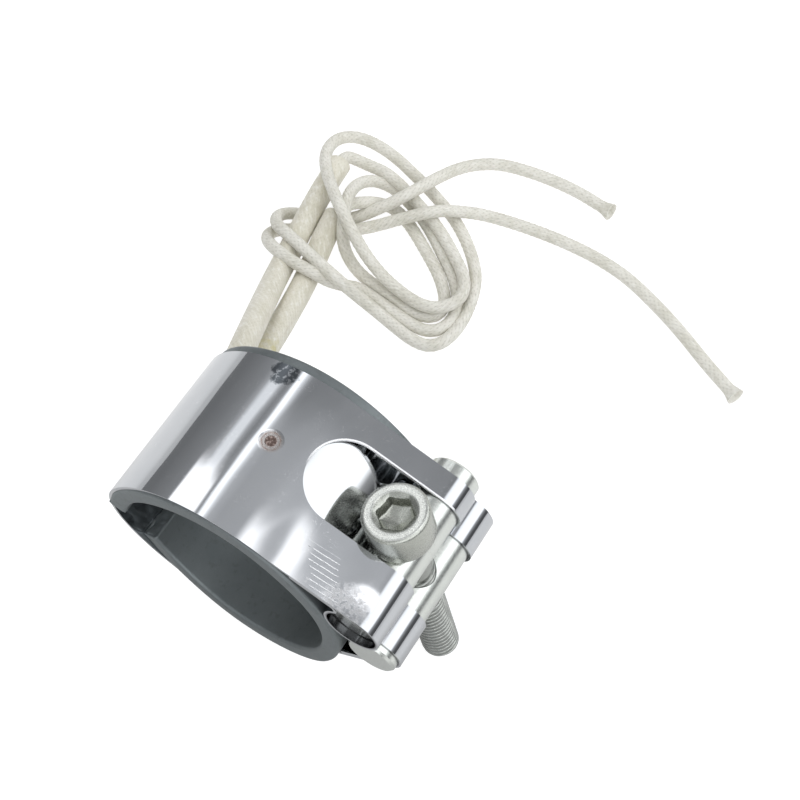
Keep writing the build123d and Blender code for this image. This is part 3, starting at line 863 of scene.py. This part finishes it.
# %% Scratches and specks
SCRATCH_GAP = 0.80
SCRATCH_SLOPE = 0.06
SCRATCH_LEAN = 0.61
along, out = leg_axes(1)
start = barrel_middle(1) + out * ROLL_RADIUS - along * LEG_LENGTH
leg_run = (x - start[0]) * along[0] + (z - start[1]) * along[1]
leg_height = (x - start[0]) * out[0] + (z - start[1]) * out[1]
on_leg = leg_height.size().step(0.6, 0.3)
across_row = y - leg_run * SCRATCH_SLOPE
along_row = leg_run + across_row * SCRATCH_LEAN + ragged * 0.9
row = (across_row + 13.3) / SCRATCH_GAP + ragged * 0.05
groove = ((row + 0.5).fraction() - 0.5).size().step(0.11, 0.04)
scratch = groove * across_row.step(-13.6, -13.5) * across_row.step(-7.7, -7.8)
scratch = scratch * along_row.step(2.0, 2.6) * along_row.step(6.9, 6.1) * on_leg * grain.step(0.36, 0.50)
specks = paint.noise(5.5, detail=2.0, rough=0.6).step(0.70, 0.76) * haze.step(0.45, 0.62)
colour = paint.mix(scratch * 0.8, colour, (0.95, 0.95, 0.95))
colour = paint.mix(specks * 0.35, colour, (0.24, 0.25, 0.26))

# %% [markdown]
# Two places are stained: a dark blotch by the back rim, and a dull, burnt corner where the tab
# is welded under the leg. Both are distances from a spot, made ragged by a noise.

# %% Blotch and burn
BLOTCH_PLACE = (-4.0, 11.9, 20.6)
BURN_PLACE = (21.2, -12.4, 14.4)
blotch = (paint.reach(BLOTCH_PLACE) + ragged * 0.6).step(2.6, 1.9)
blotch_light = paint.noise(1.3, rough=0.65).step(0.50, 0.58)
burn = paint.reach(BURN_PLACE).step(4.4, 2.4) * paint.noise(1.6, detail=5.0).step(0.34, 0.62) * on_leg
colour = paint.mix(blotch * (0.94 - blotch_light * 0.45), colour, (0.07, 0.08, 0.09))
colour = paint.mix(burn * 0.5, colour, (0.28, 0.275, 0.27))

# %% [markdown]
# The spot weld that holds the strap on the ring has a grey halo, a thin brown line round it and
# a sunken core with dark spatter.

# %% Spot weld
WELD_PLACE = (0.48, 1.4, 20.99)
WELD_LINE = 1.35
weld = paint.reach(WELD_PLACE)
halo = weld.step(2.0, 1.3)
core = weld.step(0.95, 0.75)
spatter_noise = paint.noise(2.9, rough=0.75)
spatter = core * (spatter_noise - y * 0.02).step(0.56, 0.47)
rim_line = (weld - WELD_LINE + (grain - 0.5) * 0.9).size().step(0.15, 0.04) * halo
rim_line = rim_line * spatter_noise.step(0.36, 0.56)
colour = paint.mix(halo * 0.55, colour, (0.50, 0.42, 0.37))
colour = paint.mix(core.most(rim_line) * 0.7, colour, (0.34, 0.23, 0.19))
colour = paint.mix(spatter * 0.9, colour, (0.09, 0.055, 0.045))

# %% [markdown]
# The slot was punched, so its cut edge is rough, and it gets a painted highlight that makes it pale.
# It is found as the distance from the slot's outline: a half circle at its end and a straight line
# beyond. Inside the two rolls the strip gets painted shade, since little light gets in.

# %% Cut edge highlight and roll shade, both painted
past_end = leg_run - SLOT_TIP - SLOT_RADIUS
corner = paint.node("ShaderNodeMath", {"operation": "MINIMUM"}, {0: past_end, 1: 0.0})
beside = y - SLOT_CENTRE
inside_slot = paint.node("ShaderNodeCombineXYZ", None, {0: corner, 1: beside})
from_slot = paint.vector("DISTANCE", inside_slot, (0, 0, 0), "Value")
cut_edge_and_highlight = (from_slot - SLOT_RADIUS).step(0.30, 0.18) * beside.step(-2.0, 2.0) * on_leg
# Painted highlight: the slot's cut edge is turned near white, as if it caught the light. It is also
# rougher.
colour = paint.mix(cut_edge_and_highlight, colour, (0.97, 0.97, 0.98))
section = paint.node("ShaderNodeCombineXYZ", None, {0: x, 2: z})
for side in (1, -1):
    middle = barrel_middle(side)
    from_pin = paint.vector("DISTANCE", section, (middle[0], 0, middle[1]), "Value")
    inside_roll = from_pin.step(ROLL_RADIUS + 0.05, ROLL_RADIUS - 0.15)
    colour = paint.mix(inside_roll * 0.85, colour, (0.05, 0.05, 0.055))

# %% [markdown]
# All marks meet in one shader. What is scratched, burnt or cut is rougher than the polish, and
# bare rough steel looks less like a mirror, so its share of metal is lower too.

# %% Strap finish
rough = 0.045 + haze * 0.03 + hair * 0.10 + specks * 0.2 + blotch * 0.06 + burn * 0.22 + halo * 0.15
rough = rough + scratch * 0.35 + cut_edge_and_highlight * 0.4
relief = grain * halo * 0.8 - core * 0.35 + burn * grain * 0.05 - scratch * 0.2
paint.finish(Base_Color=colour, Metallic=1.0 - scratch * 0.6 - core * 0.4 - cut_edge_and_highlight * 0.5,
             Roughness=rough, Normal=paint.bump(relief, 0.10, 0.6))
dress(strap, polish)
print("strap finish nodes:", len(polish.node_tree.nodes))

# %% [markdown]
# The ring's shell is a dull steel channel with hems folded over the outer strip. Its section is
# one rounded line in r and y, carried round the axis, and its lower half slants.

# %% Ring shell
RING_RADIUS = 20.48
RING_FRONT = -13.5
RING_WIDTH = 28.5
RING_SKEW = 2.6
RING_WAVE = 0.05
HEM = 3.6
SHELL_WALL = 0.4
GAP_HIGH = 168
GAP_LOW = 209


def rounded_corner(middle, radius, start, stop):
    """Quarter turn of a section line about a middle (r, y), angles in degrees."""
    a = np.radians(np.linspace(start, stop, 7))
    return np.stack([middle[0] + radius * np.cos(a), middle[1] + radius * np.sin(a)], axis=1)


def shell_section():
    """Section line of the channel's outer face: hem, front wall, bore and the same back again."""
    big, small = 0.55, 0.6
    front, back = RING_FRONT, RING_FRONT + RING_WIDTH
    return np.concatenate([
        [[RING_RADIUS, front + HEM]],
        rounded_corner((RING_RADIUS - big, front + big), big, 0, -90),
        rounded_corner((BORE + small, front + small), small, -90, -180),
        np.stack([np.full(14, BORE), np.linspace(front + 2, back - 2, 14)], axis=1),
        rounded_corner((BORE + small, back - small), small, 180, 90),
        rounded_corner((RING_RADIUS - big, back - big), big, 90, 0),
        [[RING_RADIUS, back - HEM]],
    ])


def slant(x, z):
    """How far the lower half leans to the back: not at all by the clamp, fully at the gap."""
    return RING_SKEW * np.clip((BORE - x) / (2 * BORE), 0, 1) * (z < 0)


def around_ring(section, first, last, count):
    """A section line in r and y carried round the Y axis, with the slant and a small wave."""
    angle = np.radians(np.linspace(first, last, count))[:, None]
    x = section[None, :, 0] * np.cos(angle)
    z = section[None, :, 0] * np.sin(angle)
    y = section[None, :, 1] + slant(x, z) + RING_WAVE * np.sin(5 * angle + 0.4)
    return np.stack([x, y, z], axis=-1) * MM


section = shell_section()
points = around_ring(section, GAP_LOW - 360, GAP_HIGH, 240)
shell = mesh_piece("ring_shell", points, grid_faces(240, len(section), False))
wall(shell, SHELL_WALL, 1.0)
print("ring shell section points:", len(section))

# %% [markdown]
# Folded sheet closes each end of the channel. Its plate is dented by two waves that cross.

# %% End plates


def end_plate(name, angle, crumple):
    """A grid in r and y across the channel's end, turned about the Y axis by the waves."""
    r, y = np.meshgrid(np.linspace(BORE + 0.05, RING_RADIUS - 0.05, 12),
                       np.linspace(RING_FRONT + 0.1, RING_FRONT + RING_WIDTH - 0.1, 60), indexing="ij")
    bent = crumple * (np.sin(1.7 * y + 2 * r) + 0.6 * np.sin(3.1 * y - 1.3 * r)) / r
    turn_at = np.radians(angle) + bent
    x, z = r * np.cos(turn_at), r * np.sin(turn_at)
    made = mesh_piece(name, np.stack([x, y + slant(x, z), z], axis=-1) * MM, grid_faces(12, 60, False))
    wall(made, SHELL_WALL)
    return made


plates = [end_plate("upper_end_plate", GAP_HIGH - 0.8, 0.10),
          end_plate("lower_end_plate", GAP_LOW + 0.8, 0.12)]
print("end plates:", len(plates))

# %% [markdown]
# The outer strip shows through the slot, with a white reflection and the dark picture of the
# screw's head in it. A small bulge tips this mirror towards the bright side.

# %% Outer strip
STRIP_RADIUS = 20.06
BULGE = 0.36
BULGE_TURN = 77
BULGE_PLACE = 2.6


def strip_points(rows, columns):
    """The strip's outer face: a plain radius plus a bell over the turn and a flatter one over y."""
    angle = np.linspace(GAP_LOW - 360 + 1.2, GAP_HIGH - 1.2, rows)[:, None]
    y = np.linspace(-10.1, 11.5, columns)[None]
    bell = np.exp(-((angle - BULGE_TURN) / 9.0) ** 2) * np.exp(-((y - BULGE_PLACE) / 7.5) ** 4)
    r = STRIP_RADIUS + BULGE * bell
    x, z = r * np.cos(np.radians(angle)), r * np.sin(np.radians(angle))
    return np.stack([x, y + slant(x, z), z], axis=-1) * MM


points = strip_points(300, 60)
outer_strip = mesh_piece("outer_strip", points, grid_faces(300, 60, False))
wall(outer_strip, SHELL_WALL, -1.0)
for piece in (shell, *plates, outer_strip):
    stands_for = "outer_sheath" if piece is outer_strip else "inner_sheath"
    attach(piece, "root")
    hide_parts(stands_for)
    print(piece.name, "stands for", stands_for)

# %% [markdown]
# The dull sheet is dark and cloudy, with a few stains and a rolled grain. The outer strip is
# nearly as bright as the strap.

# %% Sheet finishes
dull, paint = material("dull_sheet")
cloud = paint.noise(0.25, detail=5.0, rough=0.6)
fine = paint.noise(2.5, detail=5.0, rough=0.7, stretch=(1, 0.3, 1))
stain = paint.noise(0.8).step(0.56, 0.70)
colour = paint.mix(cloud, (0.165, 0.185, 0.19), (0.23, 0.25, 0.252))
colour = paint.mix(stain * 0.4, colour, (0.14, 0.15, 0.15))
paint.finish(Base_Color=colour, Metallic=0.85, Roughness=0.42 + fine * 0.2,
             Normal=paint.bump(fine, 0.02, 0.5))
for piece in (shell, *plates):
    dress(piece, dull)
bright_sheet, paint = material("bright_sheet")
cloud = paint.noise(0.2)
fine = paint.noise(3.0)
paint.finish(Base_Color=paint.mix(cloud, (0.53, 0.54, 0.55), (0.60, 0.61, 0.61)), Metallic=1.0,
             Roughness=0.05 + fine * 0.06)
dress(outer_strip, bright_sheet)
print("sheet finishes:", dull.name, bright_sheet.name)

# %% [markdown]
# The screw is turned, and only its thread changes with the turn: the radius there is a rounded
# sawtooth of height over pitch minus the turn, which makes it a helix. The socket is a six sided
# wall that runs into a round, drilled bottom.

# %% Screw sizes, in millimetres
SCREW_FOOT = np.array([23.9645, 1.8, 5.0938])
SCREW_AXIS = np.array([-0.207912, 0, 0.978148])
HEAD_SEAT = 9.30
HEAD_TOP = 15.30
SCREW_TIP = -25.70
THREAD_RADIUS = 2.97
THREAD_DEPTH = 0.56
PITCH = 1.0
THREAD_TOP = -1.0
SOCKET_HALF = 2.5
SOCKET_CORNER = 2.9
HEAD_SIDES = 144
THREAD_SIDES = 72
MIDDLE_REACH = 3e-6
HEAD_PROFILE = (
    # radius, drop below the head's top and share of the hexagon, from the seat into the socket
    (3.3, 6.0, 0), (4.70, 6.0, 0), (4.92, 5.9, 0), (5.0, 5.68, 0), (5.0, 3.0, 0), (5.0, 0.72, 0),
    (4.95, 0.50, 0), (4.80, 0.28, 0), (4.58, 0.10, 0), (4.40, 0.02, 0), (4.25, 0, 0), (3.52, 0, 0),
    (3.44, 0.03, 0), (3.10, 0.32, 0.1), (2.92, 0.52, 0.7), (2.9, 0.66, 1), (2.9, 1.2, 1),
    (2.9, 2.45, 1), (2.78, 2.62, 1), (2.55, 2.72, 0.7), (2.2, 2.85, 0.2), (1.6, 3.05, 0),
    (0.9, 3.3, 0), (0.02, 3.55, 0),
)
print("screw head rows:", len(HEAD_PROFILE))

# %% [markdown]
# Both surfaces are worked out round the screw's own axis and then stood in place. Their tiny
# last rows are joined into one point each.

# %% Screw


def stand(r, turn_at, height):
    """Points in metres from radius, turn and height about the screw's axis."""
    side = np.array([0.0, 1.0, 0.0])
    other = np.cross(SCREW_AXIS, side)
    place = (SCREW_FOOT + height[..., None] * SCREW_AXIS + (r * np.cos(turn_at))[..., None] * side
             + (r * np.sin(turn_at))[..., None] * other)
    return place * MM


def head_points():
    """Rows of the profile turned round: a hexagon's radius is its flat over the turn's cosine."""
    profile = np.array(HEAD_PROFILE)[..., None]
    radius, drop, share = profile[:, 0], profile[:, 1], profile[:, 2]
    turn_at = np.linspace(0, 2 * np.pi, HEAD_SIDES, endpoint=False)[None]
    half_flat = np.pi / 6
    to_flat = (turn_at + half_flat) % (2 * half_flat) - half_flat
    hexagon = SOCKET_HALF / np.cos(to_flat) * np.minimum(1, radius / SOCKET_CORNER)
    r = radius * (1 - share) + hexagon * share
    return stand(r, turn_at + 0.35, np.repeat(HEAD_TOP - drop, HEAD_SIDES, axis=1))


def thread_points():
    """Shank and tip: root plus depth times a rounded sawtooth of height over pitch less turn."""
    height = np.concatenate([np.linspace(HEAD_SEAT + 0.02, THREAD_TOP, 12)[:-1],
                             np.linspace(THREAD_TOP, SCREW_TIP, 300)])[:, None]
    turn_at = np.linspace(0, 2 * np.pi, THREAD_SIDES, endpoint=False)[None]
    phase = (height / PITCH - turn_at / (2 * np.pi)) % 1
    tooth = np.clip(1.9 * (1 - np.abs(2 * phase - 1)) - 0.25, 0, 1)
    fade = np.clip((THREAD_TOP + 1.2 - height) / 1.2, 0, 1)
    tip = np.clip((height - SCREW_TIP) / 0.9, 0, 1)
    r = THREAD_RADIUS - THREAD_DEPTH * (1 - tooth) * fade
    r = np.minimum(r, THREAD_RADIUS - 0.75 * (1 - tip))
    r = np.concatenate([r, np.full((1, THREAD_SIDES), 0.02)])
    height = np.concatenate([height, [[SCREW_TIP]]])
    return stand(r, turn_at, np.repeat(height, THREAD_SIDES, axis=1))


screw_pieces = []
for name, points in (("screw_head", head_points()), ("screw_thread", thread_points())):
    made = mesh_piece(name, points, grid_faces(points.shape[0], points.shape[1], True))
    join_points(made, MIDDLE_REACH, closed=True)
    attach(made, "screw")
    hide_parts("clamp_screw")
    screw_pieces.append(made)
    print(name, "faces:", len(made.data.polygons))
screw_pieces[0].data.set_sharp_from_angle(angle=math.radians(32))

# %% [markdown]
# The hardware is zinc plated steel: pale, a little green and yellow, satin and slightly
# mottled. The screw's top is grainy from forging, its side smoother. The screw's head and thread
# are darker copies of the same zinc, as painted shade, and the head's top has a painted highlight.

# %% Zinc finishes


def zinc_material(name, light, shade, rough, grain_depth, top_highlight=0.0):
    """Cloudy plating with a fine grain and darker pits, plus a paler painted highlight on the head's top.
    """
    made, paint = material(name)
    cloud = paint.noise(0.30, rough=0.6)
    grain = paint.noise(2.2, detail=5.0, rough=0.65)
    pits = paint.noise(4.5, detail=3.0).step(0.62, 0.74)
    colour = paint.mix(cloud, light, shade)
    if top_highlight:
        # Painted highlight: the head's top face is made paler, as if it caught the light.
        height = paint.vector("DOT_PRODUCT", paint.place(), SCREW_AXIS / MM, "Value")
        top = (height - SCREW_FOOT @ SCREW_AXIS).step(HEAD_TOP - 0.20, HEAD_TOP - 0.06) * top_highlight
        colour = paint.mix(top, colour, (0.78, 0.79, 0.75))
    colour = paint.mix(pits * 0.35, colour, (0.30, 0.30, 0.27))
    paint.finish(Base_Color=colour, Metallic=0.95, Roughness=rough + grain * 0.14,
                 Normal=paint.bump(grain - pits * 0.4, grain_depth, 0.6))
    return made


zinc = zinc_material("zinc_pins", (0.70, 0.72, 0.69), (0.60, 0.62, 0.58), 0.16, 0.02)
# Painted shade: the screw's head and its thread are darker copies of the pins' zinc.
shaded_zinc_head = zinc_material("shaded_zinc_screw", (0.48, 0.49, 0.45), (0.38, 0.39, 0.35), 0.20, 0.06, 0.8)
shaded_zinc_thread = zinc_material("shaded_zinc_thread", (0.40, 0.41, 0.385), (0.28, 0.29, 0.27), 0.17, 0.03)
for name in ("plain_barrel", "threaded_barrel"):
    dress(nodes[name], zinc)
dress(screw_pieces[0], shaded_zinc_head)
dress(screw_pieces[1], shaded_zinc_thread)
print("zinc finishes:", zinc.name, shaded_zinc_head.name, shaded_zinc_thread.name)

# %% [markdown]
# The mica, the ribbon and the terminals lie inside the ring and are seen only when it is taken
# apart, so each has one plain finish.

# %% Inner parts
mica, paint = material("pressed_mica")
flake = paint.noise(0.8, detail=6.0, rough=0.65, stretch=(1, 0.5, 1))
shine = paint.noise(3.0, detail=3.0)
paint.finish(Base_Color=paint.mix(flake, (0.62, 0.50, 0.32), (0.42, 0.32, 0.20)),
             Roughness=0.35 + shine * 0.2, Normal=paint.bump(flake, 0.03, 0.5))
for name in ("inner_mica", "core_mica", "outer_mica"):
    dress(nodes[name], mica)


def plain_metal(name, grain, light, shade, stretch=(1, 1, 1)):
    """Bare metal in two tones, satin where the noise is high."""
    made, paint = material(name)
    drawn = paint.noise(grain, stretch=stretch)
    paint.finish(Base_Color=paint.mix(drawn, light, shade), Metallic=1.0, Roughness=0.3 + drawn * 0.2)
    return made


ribbon = plain_metal("rolled_ribbon", 2.0, (0.50, 0.47, 0.42), (0.40, 0.38, 0.36), (1, 0.1, 1))
crimp = plain_metal("crimped_brass", 1.5, (0.75, 0.66, 0.45), (0.62, 0.54, 0.38))
dress(nodes["resistance_ribbon"], ribbon)
for name in ("upper_terminal", "lower_terminal"):
    dress(nodes[name], crimp)
print("inner finishes:", mica.name, ribbon.name, crimp.name)
